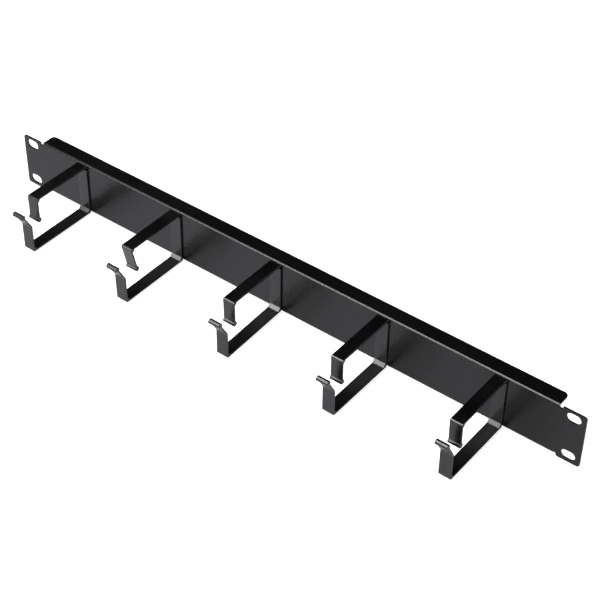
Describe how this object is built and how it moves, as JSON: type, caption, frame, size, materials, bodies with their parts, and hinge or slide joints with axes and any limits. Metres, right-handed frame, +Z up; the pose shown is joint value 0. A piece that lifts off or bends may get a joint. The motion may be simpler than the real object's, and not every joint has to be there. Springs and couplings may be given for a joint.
{
  "type": "horizontal cable manager",
  "caption": "Folded black steel rack panel whose front carries a row of open plastic rings that hold patch cables along the rack.",
  "frame": {"origin": "middle of the rack slots, on the rear face of the ears, which bears on the rack posts", "axes": "+X to the right along the panel as seen from the front, +Y back into the rack, +Z up"},
  "size_m": [0.4826, 0.0799, 0.0446],
  "materials": {
    "panel_coat": "fine powder coat",
    "ring_plastic": "satin moulded"
  },
  "bodies": {
    "root": {"rack_panel": "panel_coat", "cable_ring_1": "ring_plastic", "cable_ring_2": "ring_plastic", "cable_ring_3": "ring_plastic", "cable_ring_4": "ring_plastic", "cable_ring_5": "ring_plastic"}
  },
  "joints": []
}
